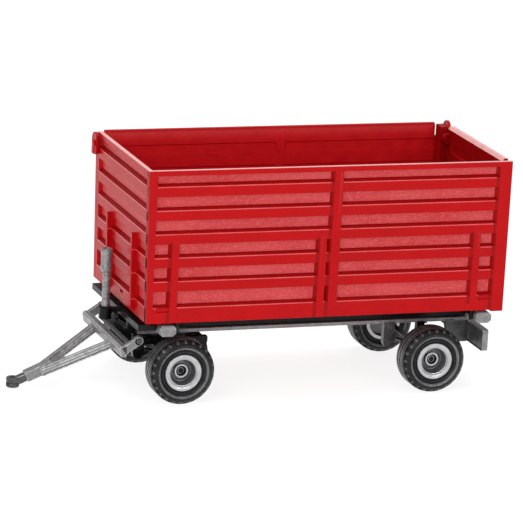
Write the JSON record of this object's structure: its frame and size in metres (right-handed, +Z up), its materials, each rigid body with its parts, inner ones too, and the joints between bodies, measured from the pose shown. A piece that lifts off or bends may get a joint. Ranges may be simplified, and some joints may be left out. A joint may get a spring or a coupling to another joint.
{
  "type": "toy tipping trailer",
  "caption": "Toy high-sided tipping trailer: ribbed red box with a side flap, dark ladder chassis, steered front bogie with drawbar, silver wheels.",
  "frame": {"origin": "on the ground, below the middle of the overall length and width at rest", "axes": "+X to the rear, drawbar towards -X; +Y to the trailer's right-hand side, where the flap is; +Z up"},
  "size_m": [0.2126, 0.078, 0.1049],
  "materials": {
    "red_plastic": "satin moulded plastic, ribs smooth, panels finely stippled",
    "dark_plastic": "satin moulded plastic",
    "silver_plastic": "silver-grey moulded plastic, soft sheen",
    "bright_metal": "bright turned",
    "tyre": "soft satin rubber",
    "lens_red": "glossy red lens"
  },
  "bodies": {
    "chassis": {"chassis_frame": "dark_plastic", "lamp_bar": "dark_plastic", "lamp_lens_left": "lens_red", "lamp_lens_right": "lens_red", "kingpin": "dark_plastic", "post_tube": "silver_plastic", "post_head": "silver_plastic", "rear_axle": "dark_plastic", "spring_rear_left": "dark_plastic", "spring_rear_right": "dark_plastic", "pivot_block_front_left": "dark_plastic", "pivot_block_front_right": "dark_plastic", "pivot_block_rear_left": "dark_plastic", "pivot_block_rear_right": "dark_plastic"},
    "bogie": {"bogie_frame": "dark_plastic", "front_axle": "dark_plastic", "spring_front_left": "dark_plastic", "spring_front_right": "dark_plastic"},
    "drawbar": {"drawbar_frame": "dark_plastic", "tow_eye": "dark_plastic", "drawbar_pin_left": "dark_plastic", "drawbar_pin_right": "dark_plastic"},
    "box": {"tub": "red_plastic"},
    "flap": {"side_flap": "red_plastic", "flap_pin_front": "red_plastic", "flap_pin_rear": "red_plastic"},
    "tailgate": {"tailgate": "red_plastic", "tailgate_pin_left": "red_plastic", "tailgate_pin_right": "red_plastic"},
    "ram": {"ram_barrel": "dark_plastic"},
    "ram_1": {"ram_stage_1": "bright_metal"},
    "ram_2": {"ram_stage_2": "bright_metal"},
    "ram_3": {"ram_stage_3": "bright_metal"},
    "wheel_front_left": {"tyre_front_left": "tyre", "rim_front_left": "silver_plastic"},
    "wheel_front_right": {"tyre_front_right": "tyre", "rim_front_right": "silver_plastic"},
    "wheel_rear_left": {"tyre_rear_left": "tyre", "rim_rear_left": "silver_plastic"},
    "wheel_rear_right": {"tyre_rear_right": "tyre", "rim_rear_right": "silver_plastic"}
  },
  "joints": [
    {"name": "steer", "type": "hinge", "parent": "chassis", "child": "bogie", "pos_m": [-0.0385, 0, 0.0265], "axis": [0, 0, 1], "range_deg": [-30, 30]},
    {"name": "drawbar_lift", "type": "hinge", "parent": "bogie", "child": "drawbar", "pos_m": [-0.0563, 0, 0.0268], "axis": [0, 1, 0], "range_deg": [0, 30]},
    {"name": "box_tip", "type": "hinge", "parent": "chassis", "child": "box", "pos_m": [0, 0.033, 0.0334], "axis": [-1, 0, 0], "range_deg": [0, 40]},
    {"name": "flap_swing", "type": "hinge", "parent": "box", "child": "flap", "pos_m": [0, 0.0357, 0.0985], "axis": [1, 0, 0], "range_deg": [0, 75]},
    {"name": "tailgate_swing", "type": "hinge", "parent": "box", "child": "tailgate", "pos_m": [0.1025, 0, 0.0985], "axis": [0, -1, 0], "range_deg": [0, 75]},
    {"name": "ram_tilt", "type": "hinge", "parent": "chassis", "child": "ram", "pos_m": [0.0258, 0, 0.0285], "axis": [-1, 0, 0], "range_deg": [0, 18.7]},
    {"name": "ram_slide_1", "type": "slide", "parent": "ram", "child": "ram_1", "axis": [0, 0, 1], "range_m": [0, 0.00745]},
    {"name": "ram_slide_2", "type": "slide", "parent": "ram_1", "child": "ram_2", "axis": [0, 0, 1], "range_m": [0, 0.00745]},
    {"name": "ram_slide_3", "type": "slide", "parent": "ram_2", "child": "ram_3", "axis": [0, 0, 1], "range_m": [0, 0.00745]},
    {"name": "spin_front_left", "type": "hinge", "parent": "bogie", "child": "wheel_front_left", "pos_m": [-0.0385, -0.03125, 0.0143], "axis": [0, 1, 0], "continuous": true},
    {"name": "spin_front_right", "type": "hinge", "parent": "bogie", "child": "wheel_front_right", "pos_m": [-0.0385, 0.03125, 0.0143], "axis": [0, 1, 0], "continuous": true},
    {"name": "spin_rear_left", "type": "hinge", "parent": "chassis", "child": "wheel_rear_left", "pos_m": [0.0768, -0.03125, 0.0143], "axis": [0, 1, 0], "continuous": true},
    {"name": "spin_rear_right", "type": "hinge", "parent": "chassis", "child": "wheel_rear_right", "pos_m": [0.0768, 0.03125, 0.0143], "axis": [0, 1, 0], "continuous": true}
  ],
  "couplings": [
    {"joint": "ram_tilt", "follows": "box_tip", "ratio": 0.465},
    {"joint": "ram_slide_1", "follows": "box_tip", "m_per_rad": 0.01056},
    {"joint": "ram_slide_2", "follows": "box_tip", "m_per_rad": 0.01056},
    {"joint": "ram_slide_3", "follows": "box_tip", "m_per_rad": 0.01056}
  ]
}
